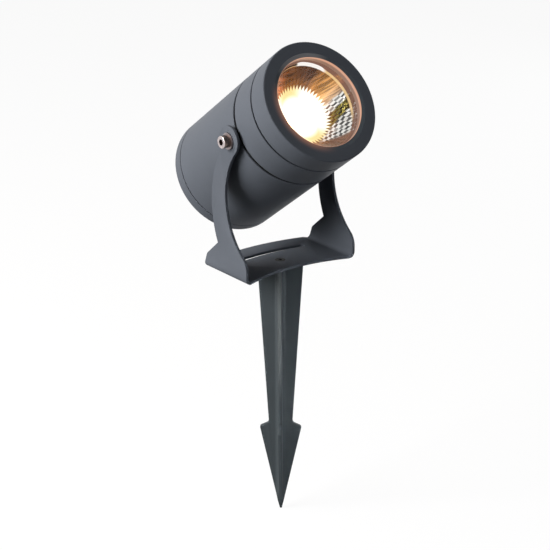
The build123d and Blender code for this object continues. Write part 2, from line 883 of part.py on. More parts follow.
with BuildPart() as gland_cap:
    cap_corner = gland_cap_across / 2 / cos(radians(30))
    cap_turned = cap_corner + slip_clearance
    with BuildSketch(across(cap_back)):
        Circle(cap_turned)
    extrude(amount=gland_cap_height)
    fillet(rims(gland_cap, cap_turned, cap_back), radius=gland_cap_round)
    with BuildSketch(across(cap_back)):
        RegularPolygon(radius=gland_cap_across / 2, side_count=6, major_radius=False)
    extrude(amount=gland_cap_height, mode=Mode.INTERSECT)
    with BuildSketch(across(cap_lip_depth)):
        Circle(gland_neck_radius + thread_clearance)
    extrude(amount=cap_lip_depth - cap_depth, mode=Mode.SUBTRACT)
    with BuildSketch(across(cap_back)):
        Circle(cable_bore_radius)
    extrude(amount=gland_cap_lip, mode=Mode.SUBTRACT)
finish(gland_cap, "gland_cap")

with BuildPart() as gland_locknut:
    with BuildSketch(across(well_inside)):
        RegularPolygon(radius=locknut_across / 2, side_count=6, major_radius=False)
        Circle(gland_hole, mode=Mode.SUBTRACT)
    extrude(amount=locknut_thickness)
finish(gland_locknut, "gland_locknut")


# ---------------------------------------------------------------- driver
with BuildPart() as driver_tray:
    with BuildSketch(across(tray_back)):
        with Locations((0, -tray_drop)):
            Rectangle(2 * tray_half_width, tray_thickness, align=(Align.CENTER, Align.MAX))
    extrude(amount=tray_length)
    with BuildSketch(across(sink_back)):
        with Locations((0, tray_bottom)):
            Rectangle(
                2 * tray_half_width,
                tray_thickness + tray_flange_height,
                align=(Align.CENTER, Align.MIN),
            )
        with Locations((0, -tray_screw_drop)):
            with GridLocations(2 * tray_screw_across, 0, 2, 1):
                Circle(tray_screw_radius + thread_clearance, mode=Mode.SUBTRACT)
    extrude(amount=-tray_thickness)
finish(driver_tray, "driver_tray")

with BuildPart() as driver_tray_screws:
    for radius, length in (
        (tray_screw_head_radius, -tray_screw_head_height),
        (tray_screw_radius, tray_screw_length),
    ):
        with BuildSketch(across(sink_back + tray_thickness)):
            with Locations((0, -tray_screw_drop)):
                with GridLocations(2 * tray_screw_across, 0, 2, 1):
                    Circle(radius)
        extrude(amount=length)
finish(driver_tray_screws, "driver_tray_screws")


def board_plane(up):
    """Plane level with the driver board, this far above the head's axis; Y runs to the back."""
    return Plane(origin=head_point(0, up, board_front), x_dir=(1, 0, 0), z_dir=head_up)


spacer_across = board_width / 2 - board_spacer_inset
spacer_backs = (board_spacer_inset, board_length - board_spacer_inset)

with BuildPart() as board_spacers:
    with BuildSketch(board_plane(-tray_drop)):
        with Locations(*[(x, y) for x in (-spacer_across, spacer_across) for y in spacer_backs]):
            Circle(board_spacer_radius)
    extrude(amount=board_spacer_height)
finish(board_spacers, "board_spacers")

with BuildPart() as driver_board:
    with BuildSketch(board_plane(board_top)):
        Rectangle(board_width, board_length, align=(Align.CENTER, Align.MIN))
        with Locations((0, led_lead_landing)):
            with GridLocations(2 * led_lead_across, 0, 2, 1):
                Circle(lead_radius + thread_clearance, mode=Mode.SUBTRACT)
    extrude(amount=-board_thickness)
finish(driver_board, "driver_board")

with BuildPart() as driver_transformer:
    with BuildSketch(board_plane(board_top)):
        with Locations((transformer_across, board_length / 2)):
            Rectangle(transformer_width, transformer_length)
    extrude(amount=transformer_height)
finish(driver_transformer, "driver_transformer")

with BuildPart() as driver_capacitors:
    with BuildSketch(board_plane(board_top)):
        with Locations((capacitor_across, capacitor_setback)):
            with GridLocations(capacitor_pitch, 0, capacitor_count, 1):
                Circle(capacitor_radius)
    extrude(amount=capacitor_height)
finish(driver_capacitors, "driver_capacitors")

way_up = board_top + terminal_height / 2
with BuildPart() as terminal_block:
    with BuildSketch(board_plane(board_top)):
        with Locations((terminal_across, board_length)):
            Rectangle(terminal_width, terminal_length, align=(Align.CENTER, Align.MAX))
    extrude(amount=terminal_height)
    with BuildSketch(across(board_back)):
        with Locations((terminal_across, way_up)):
            with GridLocations(terminal_width / terminal_ways, 0, terminal_ways, 1):
                Circle(terminal_way_radius)
    extrude(amount=terminal_way_depth, mode=Mode.SUBTRACT)
finish(terminal_block, "terminal_block")


# ---------------------------------------------------------------- wiring
def lead(points):
    """Round wire along these points, with every corner bent to the same radius."""
    with BuildPart() as wire:
        with BuildLine() as path:
            FilletPolyline(points, radius=lead_bend)
        with BuildSketch(path.line ^ 0):
            Circle(lead_radius)
        sweep()
    return wire.part


lead_mid_depth = holder_depth + led_holder_thickness / 2
landing_depth = board_front + led_lead_landing
for side, name in ((-1, "led_lead_positive"), (1, "led_lead_negative")):
    with BuildPart() as led_lead:
        add(
            lead(
                [
                    head_point(side * led_lead_across, grip_up, lead_mid_depth),
                    head_point(side * led_lead_across, led_lead_out, lead_mid_depth),
                    head_point(side * led_lead_across, led_lead_out, landing_depth),
                    head_point(side * led_lead_across, board_top - board_thickness, landing_depth),
                ]
            )
        )
    finish(led_lead, name)

tag_depth = cover_inside - earth_tag_thickness
lead_on_tag = tag_depth - lead_radius + earth_tag_thickness / 2
lead_end_up = earth_screw_head_radius + loose_clearance - earth_screw_drop
with BuildPart() as earth_lead:
    add(
        lead(
            [
                head_point(earth_across, way_up, board_back - terminal_way_depth),
                head_point(earth_across, way_up, lead_on_tag),
                head_point(earth_across, lead_end_up, lead_on_tag),
            ]
        )
    )
    with BuildSketch(across(cover_inside)):
        with Locations((earth_across, -earth_screw_drop)):
            Circle(earth_tag_radius)
            Rectangle(earth_tag_width, earth_tag_length, align=(Align.CENTER, Align.MIN))
            Circle(earth_screw_radius + thread_clearance, mode=Mode.SUBTRACT)
    extrude(amount=earth_tag_thickness)
finish(earth_lead, "earth_lead")

with BuildPart() as earth_screw:
    for radius, length in (
        (earth_screw_head_radius, earth_screw_head_height),
        (earth_screw_radius, -earth_screw_length),
    ):
        with BuildSketch(across(tag_depth)):
            with Locations((earth_across, -earth_screw_drop)):
                Circle(radius)
        extrude(amount=length)
finish(earth_screw, "earth_screw")
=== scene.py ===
from math import atan2, cos, hypot, radians, sin
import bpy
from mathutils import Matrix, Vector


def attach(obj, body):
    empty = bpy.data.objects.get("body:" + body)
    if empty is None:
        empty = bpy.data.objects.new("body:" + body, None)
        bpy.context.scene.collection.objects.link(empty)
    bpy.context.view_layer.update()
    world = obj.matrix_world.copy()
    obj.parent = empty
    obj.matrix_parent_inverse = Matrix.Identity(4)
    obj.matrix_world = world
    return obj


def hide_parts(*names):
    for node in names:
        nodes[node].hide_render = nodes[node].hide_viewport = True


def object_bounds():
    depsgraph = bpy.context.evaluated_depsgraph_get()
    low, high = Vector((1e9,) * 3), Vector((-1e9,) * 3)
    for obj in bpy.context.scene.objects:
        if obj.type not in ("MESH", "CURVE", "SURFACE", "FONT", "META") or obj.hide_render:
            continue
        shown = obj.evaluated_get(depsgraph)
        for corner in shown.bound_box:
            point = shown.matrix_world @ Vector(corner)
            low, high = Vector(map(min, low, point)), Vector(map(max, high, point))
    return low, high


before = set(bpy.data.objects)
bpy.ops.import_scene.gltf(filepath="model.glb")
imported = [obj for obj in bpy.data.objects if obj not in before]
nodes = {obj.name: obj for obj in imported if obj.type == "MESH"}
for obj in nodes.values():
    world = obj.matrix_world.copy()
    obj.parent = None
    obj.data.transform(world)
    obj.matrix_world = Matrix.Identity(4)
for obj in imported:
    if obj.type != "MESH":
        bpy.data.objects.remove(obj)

from types import SimpleNamespace

import bmesh
import bpy
from mathutils import Euler, Matrix, Vector

cad_box = [list(corner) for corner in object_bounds()]

# ---------------------------------------------------------------- ground spike
# One moulding of glass-filled nylon, dark grey, with four thin blades and a barbed point. Its faces
# carry the fine spark texture of the mould, and its edges are slightly round.


def srgb(red, green, blue):
    """Linear colour of an 8-bit screen colour."""
    return tuple(
        (c / 12.92 if c <= 0.04045 else ((c + 0.055) / 1.055) ** 2.4)
        for c in (red / 255, green / 255, blue / 255)
    ) + (1,)


def set_input(tree, socket, value):
    """Links the output of a node to this input, or writes a plain value in it."""
    if isinstance(value, bpy.types.NodeSocket):
        tree.links.new(value, socket)
    else:
        socket.default_value = value


def add_node(tree, kind, **settings):
    """New node of this kind; a setting is one of its properties, or else the input of that name."""
    made = tree.nodes.new(kind)
    for name, value in settings.items():
        if hasattr(made, name):
            setattr(made, name, value)
        else:
            set_input(tree, made.inputs[name.replace("_", " ")], value)
    return made


class Maths:
    """Short names for math nodes in one node tree."""

    def __init__(self, tree):
        self.tree = tree

    def __call__(self, operation, *values):
        made = add_node(self.tree, "ShaderNodeMath", operation=operation)
        for socket, value in zip(made.inputs, values):
            set_input(self.tree, socket, value)
        return made.outputs[0]


def ease(tree, value, low, high, to_low=0.0, to_high=1.0):
    """Smooth step of a value from one level to another."""
    step = add_node(
        tree,
        "ShaderNodeMapRange",
        interpolation_type="SMOOTHSTEP",
        Value=value,
        From_Min=low,
        From_Max=high,
        To_Min=to_low,
        To_Max=to_high,
    )
    return step.outputs["Result"]


def blend(tree, share, first, second, kind="MIX"):
    """Mix of two colours, each given as a value or as the output of another node."""
    mix = add_node(tree, "ShaderNodeMix", data_type="RGBA", blend_type=kind, Factor=share)
    set_input(tree, mix.inputs[6], first)
    set_input(tree, mix.inputs[7], second)
    return mix.outputs[2]


def local_place(tree, centre=(0, 0, 0), turn=(0, 0, 0)):
    """X, Y and Z of a point in axes that stand at this place with this turn."""
    place = add_node(tree, "ShaderNodeTexCoord").outputs["Object"]
    turned = add_node(
        tree,
        "ShaderNodeMapping",
        vector_type="TEXTURE",
        Vector=place,
        Location=centre,
        Rotation=turn,
    )
    parts = add_node(tree, "ShaderNodeSeparateXYZ", Vector=turned.outputs[0]).outputs
    return parts["X"], parts["Y"], parts["Z"]


def grain_group():
    """Fine surface grain over a soft mottle: gives a colour, a roughness and a height."""
    tree = bpy.data.node_groups.new("surface_grain", "ShaderNodeTree")
    for name, way, kind in (
        ("Dark", "INPUT", "NodeSocketColor"),
        ("Light", "INPUT", "NodeSocketColor"),
        ("Grain Scale", "INPUT", "NodeSocketFloat"),
        ("Mottle Scale", "INPUT", "NodeSocketFloat"),
        ("Smoothest", "INPUT", "NodeSocketFloat"),
        ("Roughest", "INPUT", "NodeSocketFloat"),
        ("Color", "OUTPUT", "NodeSocketColor"),
        ("Roughness", "OUTPUT", "NodeSocketFloat"),
        ("Height", "OUTPUT", "NodeSocketFloat"),
    ):
        tree.interface.new_socket(name, in_out=way, socket_type=kind)
    given = add_node(tree, "NodeGroupInput").outputs
    place = add_node(tree, "ShaderNodeTexCoord").outputs["Object"]
    grain_noise = add_node(
        tree,
        "ShaderNodeTexNoise",
        Vector=place,
        Scale=given["Grain Scale"],
        Detail=3.0,
        Roughness=0.6,
    )
    mottle_noise = add_node(
        tree,
        "ShaderNodeTexNoise",
        Vector=place,
        Scale=given["Mottle Scale"],
        Detail=4.0,
        Roughness=0.55,
    )
    grain = grain_noise.outputs["Fac"]
    mottle = mottle_noise.outputs["Fac"]
    maths = Maths(tree)
    grain_share = 0.45
    mottle_share = 0.55
    lightness = maths("MULTIPLY_ADD", grain, grain_share, maths("MULTIPLY", mottle, mottle_share))
    rough = add_node(
        tree,
        "ShaderNodeMapRange",
        Value=mottle,
        From_Min=0.3,
        From_Max=0.7,
        To_Min=given["Smoothest"],
        To_Max=given["Roughest"],
    )
    add_node(
        tree,
        "NodeGroupOutput",
        Color=blend(tree, lightness, given["Dark"], given["Light"]),
        Roughness=rough.outputs["Result"],
        Height=grain,
    )
    return tree


surface_grain = grain_group()


def shader_of(material, **values):
    """The shader of a material, with these values on its inputs."""
    shader = material.node_tree.nodes["Principled BSDF"]
    for name, value in values.items():
        shader.inputs[name.replace("_", " ")].default_value = value
    return shader


def new_material(name, **values):
    """New material with these values on its shader, its node tree and the shader."""
    material = bpy.data.materials.new(name)
    material.use_nodes = True
    return material, material.node_tree, shader_of(material, **values)


def grained(name, dark, light, grain_mm, mottle_mm, rough, relief_mm, **values):
    """Material with the shared grain; further values go on the shader itself."""
    material, tree, shader = new_material(name, **values)
    grain = add_node(
        tree,
        "ShaderNodeGroup",
        node_tree=surface_grain,
        Dark=dark,
        Light=light,
        Grain_Scale=1000 / grain_mm,
        Mottle_Scale=1000 / mottle_mm,
        Smoothest=rough[0],
        Roughest=rough[1],
    ).outputs
    bump = add_node(
        tree, "ShaderNodeBump", Strength=1.0, Distance=relief_mm / 1000, Height=grain["Height"]
    )
    tree.links.new(grain["Color"], shader.inputs["Base Color"])
    tree.links.new(grain["Roughness"], shader.inputs["Roughness"])
    tree.links.new(bump.outputs["Normal"], shader.inputs["Normal"])
    return material


def variant(material, name, **values):
    """Copy of a material under a name of its own, with other values on its shader."""
    copied = material.copy()
    copied.name = name
    shader_of(copied, **values)
    return copied


def coat_nodes(material):
    """Node tree of a grained material, its maths, its shader and the output that colours it."""
    tree = material.node_tree
    shader = shader_of(material)
    return tree, Maths(tree), shader, shader.inputs["Base Color"].links[0].from_socket


def cover(material, *names):
    """Gives these CAD nodes one material."""
    for name in names:
        mesh = nodes[name].data
        mesh.materials.clear()
        mesh.materials.append(material)


def keep_result(piece):
    """Turns what the modifiers of an object make into its own plain mesh."""
    result = piece.evaluated_get(bpy.context.evaluated_depsgraph_get())
    made = bpy.data.meshes.new_from_object(result)
    made.name = piece.name
    piece.modifiers.clear()
    piece.data = made


def rounded_copy(node, name, edge_mm, material):
    """Copy of a CAD node with its sharp edges rounded by this much, as one closed mesh."""
    same_point = 1e-6
    flat_angle = radians(0.4)
    sharp_angle = radians(32)
    mesh = nodes[node].data.copy()
    shape = bmesh.new()
    shape.from_mesh(mesh)
    bmesh.ops.remove_doubles(shape, verts=shape.verts, dist=same_point)
    bmesh.ops.dissolve_limit(
        shape, angle_limit=flat_angle, verts=shape.verts, edges=shape.edges
    )
    for face in shape.faces:
        face.smooth = True
    shape.to_mesh(mesh)
    shape.free()
    mesh.materials.clear()
    mesh.materials.append(material)
    piece = bpy.data.objects.new(name, mesh)
    bpy.context.scene.collection.objects.link(piece)
    edges = piece.modifiers.new("edges", "BEVEL")
    edges.width = edge_mm / 1000
    edges.segments = 2
    edges.limit_method = "ANGLE"
    edges.angle_limit = sharp_angle
    edges.harden_normals = True
    keep_result(piece)
    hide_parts(node)
    return piece


nylon = grained(
    "dark_nylon",
    srgb(48, 53, 56),
    srgb(61, 67, 70),
    grain_mm=0.55,
    mottle_mm=22,
    rough=(0.42, 0.55),
    relief_mm=0.02,
    Specular_IOR_Level=0.12,
)
# The end faces of the blades carry a painted highlight, in a lighter tone of the nylon.
blade_turn = radians(50.2)
blade_half = 0.00145
strip_full = blade_half - 0.00030
strip_end = blade_half - 0.00015
strip_bottom = -0.112
strip_top = -0.060
strip_painted_highlight = srgb(78, 82, 83)


def painted_highlight_edges(material):
    """Paints a highlight on the narrow end faces of the four blades, in a lighter tone of the
    nylon.
    """
    tree, maths, shader, nylon_tone = coat_nodes(material)
    first, second, height = local_place(tree, turn=(0, 0, blade_turn))
    nearer = maths("MINIMUM", maths("ABSOLUTE", first), maths("ABSOLUTE", second))
    on_strip = ease(tree, nearer, strip_end, strip_full)
    share = maths("MULTIPLY", on_strip, ease(tree, height, strip_bottom, strip_top))
    tree.links.new(blend(tree, share, nylon_tone, strip_painted_highlight), shader.inputs["Base Color"])


spike_nylon = variant(nylon, "spike_nylon_pale_edges")
painted_highlight_edges(spike_nylon)
spike = rounded_copy("spike", "ground_spike", 0.35, spike_nylon)
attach(spike, "spike")

# ---------------------------------------------------------------- spike screw
# An M4 countersunk screw, black oxide, flush in the plate's hole. It clamps the yoke to the spike
# and is the axle that the yoke turns on.

black_oxide = grained(
    "black_oxide_steel",
    srgb(3, 3, 3),
    srgb(9, 9, 10),
    grain_mm=0.3,
    mottle_mm=3,
    rough=(0.4, 0.6),
    relief_mm=0.01,
    Specular_IOR_Level=0.1,
)
cover(black_oxide, "spike_screw")

# ---------------------------------------------------------------- yoke
# One strip of 2 mm sheet, cut to shape, folded up at both ends and powder coated anthracite. The
# coat has a fine grain and rounds the cut edges.

yoke_coat = grained(
    "yoke_powder_coat",
    srgb(70, 74, 80),
    srgb(87, 91, 98),
    grain_mm=0.42,
    mottle_mm=30,
    rough=(0.50, 0.60),
    relief_mm=0.022,
    Specular_IOR_Level=0.01,
)
yoke = rounded_copy("yoke", "folded_yoke", 0.3, yoke_coat)
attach(yoke, "yoke")

# ---------------------------------------------------------------- head castings
# The optic housing, the barrel and the rear cover are turned aluminium, powder coated anthracite
# and a little smoother than the yoke. Black rubber rings show as thin lines in the grooves.

powder_coat = grained(
    "anthracite_powder_coat",
    srgb(68, 72, 78),
    srgb(84, 88, 95),
    grain_mm=0.42,
    mottle_mm=30,
    rough=(0.42, 0.52),
    relief_mm=0.022,
    Specular_IOR_Level=0.06,
)
cover(powder_coat, "optic_housing", "barrel", "rear_cover")
rubber = grained(
    "black_rubber",
    srgb(3, 3, 3),
    srgb(8, 8, 8),
    grain_mm=0.5,
    mottle_mm=6,
    rough=(0.75, 0.9),
    relief_mm=0.02,
    Specular_IOR_Level=0.08,
)
cover(
    rubber,
    "bezel_seal",
    "optic_housing_seal",
    "rear_cover_seal",
    "gland_o_ring",
    "gland_seal",
)

# ---------------------------------------------------------------- pivots
# Two stainless M5 socket head screws with plain washers, one at each arm, and nylon discs between
# the arms and the head. The steel has a warm tone, and the knurled sides of the heads carry painted
# shade.

# The strong dark and light mottle of the steel is a painted reflection, over its warm tone.
stainless = grained(
    "stainless_steel",
    (0.10, 0.08, 0.08, 1),
    (0.98, 0.86, 0.86, 1),
    grain_mm=0.6,
    mottle_mm=2.2,
    rough=(0.16, 0.30),
    relief_mm=0.012,
    Metallic=1.0,
)
cover(stainless, "rear_cover_screws", "led_holder_screws", "driver_tray_screws")
screw_end = 0.05285
knurl_end = screw_end - 0.0004
face_start = screw_end - 0.0001
# Painted shade on the knurled sides of the screw heads.
knurl_painted_shade = (0.15, 0.115, 0.10, 1)


def paint_knurl_shade(material):
    """Paints shade on the knurled sides of the two screw heads."""
    tree, maths, shader, steel_tone = coat_nodes(material)
    sideways = local_place(tree)[0]
    on_face = ease(tree, maths("ABSOLUTE", sideways), knurl_end, face_start)
    tree.links.new(blend(tree, on_face, knurl_painted_shade, steel_tone), shader.inputs["Base Color"])


pivot_steel = variant(stainless, "pivot_screw_steel")
paint_knurl_shade(pivot_steel)
cover(pivot_steel, "pivot_screws")
# The washers are a darker copy of the steel: painted shade and painted dark reflections.
shaded_washer_steel = grained(
    "stainless_steel_painted_shade",
    (0.06, 0.05, 0.05, 1),
    (0.50, 0.43, 0.43, 1),
    grain_mm=0.5,
    mottle_mm=3,
    rough=(0.3, 0.42),
    relief_mm=0.01,
    Metallic=1.0,
)
cover(shaded_washer_steel, "pivot_washers")
cover(nylon, "pivot_spacers")

# ---------------------------------------------------------------- reflector
# A cone of pressed aluminium with a mirror coat. Its bowl is made of small flat facets, fifty round
# and in twelve rows, from the rim behind the glass down to the light source. Its colour holds
# painted reflections, and its glow is painted light of the source, with a painted highlight and
# shadow at the rim.

beam_tilt = radians(35.6)
beam = Vector((0, -cos(beam_tilt), sin(beam_tilt)))
pivot = Vector((0, -0.0057, 0.0969))
pivot_depth = 0.0465
face_centre = pivot + beam * pivot_depth
head_turn = Euler((radians(90) - beam_tilt, 0, 0))
facets_around = 50
facet_rows = 12
flange_width = 0.0052
wall_thickness = 0.0009


def bowl_arc(first, middle, last):
    """Centre, radius and end angles of the arc through three (radius, depth) points."""
    steps = [(2 * (point[0] - first[0]), 2 * (point[1] - first[1])) for point in (middle, last)]
    start = first[0] ** 2 + first[1] ** 2
    squares = Vector([point[0] ** 2 + point[1] ** 2 - start for point in (middle, last)])
    centre = Matrix(steps).inverted() @ squares
    ends = [atan2(point[1] - centre[1], point[0] - centre[0]) for point in (first, last)]
    return centre, hypot(first[0] - centre[0], first[1] - centre[1]), ends


bowl_rim = (0.0306, 0.0100)
bowl_waist = (0.0205, 0.0230)
bowl_bottom = (0.0095, 0.0296)
arc_centre, arc_radius, (rim_angle, bottom_angle) = bowl_arc(bowl_rim, bowl_waist, bowl_bottom)


def facet_tree():
    """Bowl of flat facets round the head's axis, with a flat flange at its rim."""
    same_point = 1e-5
    tree = bpy.data.node_groups.new("facet_bowl", "GeometryNodeTree")
    for name, kind in (
        ("Facets Around", "NodeSocketInt"),
        ("Facet Rows", "NodeSocketInt"),
        ("Arc Radius", "NodeSocketFloat"),
        ("Centre Radius", "NodeSocketFloat"),
        ("Centre Depth", "NodeSocketFloat"),
        ("Rim Angle", "NodeSocketFloat"),
        ("Bottom Angle", "NodeSocketFloat"),
        ("Flange", "NodeSocketFloat"),
        ("Place", "NodeSocketVector"),
        ("Turn", "NodeSocketVector"),
        ("Material", "NodeSocketMaterial"),
    ):
        tree.interface.new_socket(name, in_out="INPUT", socket_type=kind)
    tree.interface.new_socket("Geometry", in_out="OUTPUT", socket_type="NodeSocketGeometry")
    given = add_node(tree, "NodeGroupInput").outputs
    maths = Maths(tree)
    rows = maths("ADD", given["Facet Rows"], 2)
    grid = add_node(
        tree,
        "GeometryNodeMeshGrid",
        Size_X=1.0,
        Size_Y=1.0,
        Vertices_X=maths("ADD", given["Facets Around"], 1),
        Vertices_Y=rows,
    )
    position = add_node(tree, "GeometryNodeInputPosition")
    parts = add_node(tree, "ShaderNodeSeparateXYZ", Vector=position.outputs[0]).outputs
    angle = maths("MULTIPLY", parts["X"], radians(360))
    row = maths("MULTIPLY", maths("ADD", parts["Y"], 0.5), maths("ADD", rows, -1))
    share = maths("DIVIDE", maths("MAXIMUM", maths("ADD", row, -1), 0), given["Facet Rows"])
    sweep = maths("SUBTRACT", given["Bottom Angle"], given["Rim Angle"])
    turn = maths("MULTIPLY_ADD", share, sweep, given["Rim Angle"])
    outside = maths("MULTIPLY", maths("LESS_THAN", row, 0.5), given["Flange"])
    reach = maths("MULTIPLY", maths("COSINE", turn), given["Arc Radius"])
    radius = maths("ADD", maths("ADD", reach, given["Centre Radius"]), outside)
    drop = maths("MULTIPLY", maths("SINE", turn), given["Arc Radius"])
    depth = maths("ADD", drop, given["Centre Depth"])
    point = add_node(
        tree,
        "ShaderNodeCombineXYZ",
        X=maths("MULTIPLY", radius, maths("COSINE", angle)),
        Y=maths("MULTIPLY", radius, maths("SINE", angle)),
        Z=maths("MULTIPLY", depth, -1),
    )
    bend = add_node(
        tree,
        "GeometryNodeSetPosition",
        Geometry=grid.outputs["Mesh"],
        Position=point.outputs[0],
    )
    join = add_node(
        tree, "GeometryNodeMergeByDistance", Geometry=bend.outputs[0], Distance=same_point
    )
    move = add_node(
        tree,
        "GeometryNodeTransform",
        Geometry=join.outputs[0],
        Translation=given["Place"],
        Rotation=given["Turn"],
    )
    flat = add_node(
        tree, "GeometryNodeSetShadeSmooth", Geometry=move.outputs[0], Shade_Smooth=False
    )
    real = add_node(tree, "GeometryNodeRealizeInstances", Geometry=flat.outputs[0])
    coated = add_node(
        tree,
        "GeometryNodeSetMaterial",
        Geometry=real.outputs[0],
        Material=given["Material"],
    )
    add_node(tree, "NodeGroupOutput", Geometry=coated.outputs[0])
    return tree


def grow(name, tree, values):
    """Runs a geometry tree with these input values and keeps its result as a plain mesh."""
    piece = bpy.data.objects.new(name, bpy.data.meshes.new(name))
    bpy.context.scene.collection.objects.link(piece)
    growth = piece.modifiers.new("growth", "NODES")
    growth.node_group = tree
    for item in tree.interface.items_tree:
        if item.in_out == "INPUT":
            growth[item.identifier] = values[item.name]
    bpy.context.view_layer.update()
    keep_result(piece)
    return piece


def head_place(tree):
    """Where a point is on the head, in mm: over its face, behind it, and round its axis."""
    maths = Maths(tree)
    across, up, out = local_place(tree, face_centre, head_turn)
    rightward = maths("MULTIPLY", across, 1000)
    upward = maths("MULTIPLY", up, 1000)
    squares = maths("ADD", maths("POWER", rightward, 2), maths("POWER", upward, 2))
    return SimpleNamespace(
        rightward=rightward,
        upward=upward,
        depth=maths("MULTIPLY", out, -1000),
        reach=maths("SQRT", squares),
        angle=maths("ARCTAN2", upward, rightward),
    )


def toward(maths, at, degrees):
    """Cosine of the way round from this angle, which counts from the right over the top."""
    return maths("COSINE", maths("ADD", at.angle, radians(-degrees)))


def slanting(maths, at, degrees):
    """Places along and across lines at this angle over the head's face."""
    lean = cos(radians(degrees))
    rise = sin(radians(degrees))
    along = maths("ADD", maths("MULTIPLY", at.rightward, lean), maths("MULTIPLY", at.upward, rise))
    across = maths(
        "SUBTRACT", maths("MULTIPLY", at.upward, lean), maths("MULTIPLY", at.rightward, rise)
    )
    return along, across


def flat_point(tree, first, second):
    """Place in a flat texture."""
    return add_node(tree, "ShaderNodeCombineXYZ", X=first, Y=second).outputs[0]


# Each entry is an angle from the right over the top, in degrees, and the warm tint of the painted
# reflection there.
reflected_warm_tints = (
    (0, (0.90, 0.86, 0.82, 1)),
    (13, (0.76, 0.49, 0.31, 1)),
    (30, (0.85, 0.43, 0.15, 1)),
    (45, (0.62, 0.27, 0.08, 1)),
    (60, (0.16, 0.075, 0.045, 1)),
    (80, (0.15, 0.055, 0.020, 1)),
    (104, (0.24, 0.075, 0.014, 1)),
    (129, (0.52, 0.155, 0.060, 1)),
    (180, (0.40, 0.20, 0.09, 1)),
    (285, (0.19, 0.092, 0.054, 1)),
    (304, (0.27, 0.16, 0.115, 1)),
    (325, (0.40, 0.30, 0.25, 1)),
)


def warm_reflection(tree, at, streak):
    """Painted reflection: warm tints round the bowl, fluted all round, with long soft lines in the
    upper half.
    """
    maths = Maths(tree)
    line_angle = 9
    along_scale = 0.07
    across_scale = 0.62
    plain_tone = 0.9
    dark_line = 0.42
    light_line = 1.15
    darkest_flute = 0.75
    flute_contrast = 0.3
    along, across = slanting(maths, at, line_angle)
    along = maths("MULTIPLY", along, along_scale)
    across = maths("MULTIPLY", across, across_scale)
    lines = add_node(
        tree,
        "ShaderNodeTexNoise",
        Vector=flat_point(tree, along, across),
        Scale=1.0,
        Detail=2.0,
        Roughness=0.6,
    )
    line_tone = ease(tree, lines.outputs["Fac"], 0.36, 0.62, dark_line, light_line)
    upper_half = ease(tree, at.upward, -12, 2)
    flutes = maths("MULTIPLY_ADD", streak, flute_contrast, darkest_flute)
    lined = maths("MULTIPLY_ADD", maths("ADD", line_tone, -plain_tone), upper_half, plain_tone)
    lap = maths("FRACT", maths("ADD", maths("DIVIDE", at.angle, radians(360)), 1))
    tints = add_node(tree, "ShaderNodeValToRGB", Fac=lap)
    stops = tints.color_ramp.elements
    stops[0].color = reflected_warm_tints[0][1]
    stops[1].color = reflected_warm_tints[0][1]
    for degrees, tint in reflected_warm_tints[1:]:
        stops.new(degrees / 360).color = tint
    return blend(tree, 1.0, tints.outputs["Color"], maths("MULTIPLY", flutes, lined), "MULTIPLY")


def chequered_reflection(tree, at):
    """Painted reflection of dashes in slanting, slightly wavy lines, one band of them olive, and
    the area they fill.
    """
    maths = Maths(tree)
    line_angle = 31
    line_pitch = 1.3
    dash_length = 2.9
    olive_middle = 16.6
    olive_half = 2.6
    olive_fade = 1.0
    sway_width = 1.8
    fleck_share = 0.42
    chequer_share = 0.58
    # An even number of cells that keeps the count of a cell above zero.
    cells_before = 400
    pale_tint = (1.10, 1.07, 1.03, 1)
    olive_tint = (0.25, 0.195, 0.045, 1)
    along, across = slanting(maths, at, line_angle)
    sway = add_node(
        tree, "ShaderNodeTexNoise", Vector=flat_point(tree, along, across), Scale=0.22, Detail=1.0
    )
    shift = maths("MULTIPLY_ADD", sway.outputs["Fac"], sway_width, -sway_width / 2)
    across = maths("ADD", across, shift)
    dash = maths("FLOOR", maths("DIVIDE", along, dash_length))
    line = maths("FLOOR", maths("DIVIDE", across, line_pitch))
    cell = flat_point(tree, dash, line)
    fleck = add_node(tree, "ShaderNodeTexWhiteNoise", noise_dimensions="2D", Vector=cell)
    chequer = maths("MODULO", maths("ADD", maths("ADD", dash, line), cells_before), 2)
    chequer_tone = maths("MULTIPLY", chequer, chequer_share)
    cell_tone = maths("MULTIPLY_ADD", fleck.outputs["Value"], fleck_share, chequer_tone)
    dash_tone = ease(tree, cell_tone, 0.10, 0.82, 0.09, 1.0)
    from_olive = maths("ABSOLUTE", maths("ADD", across, olive_middle))
    in_olive = ease(tree, from_olive, olive_half, olive_half + olive_fade, 1.0, 0.0)
    dash_tint = blend(tree, in_olive, pale_tint, olive_tint)
    dashes = blend(tree, 1.0, dash_tint, dash_tone, "MULTIPLY")
    under_lines = ease(tree, across, -9.5, -7.0, 1.0, 0.0)
    over_bottom = ease(tree, at.upward, -22.5, -20.5)
    low = maths("MULTIPLY", under_lines, over_bottom)
    low_right = maths("MULTIPLY", low, ease(tree, at.rightward, 2, 10))
    return low_right, dashes


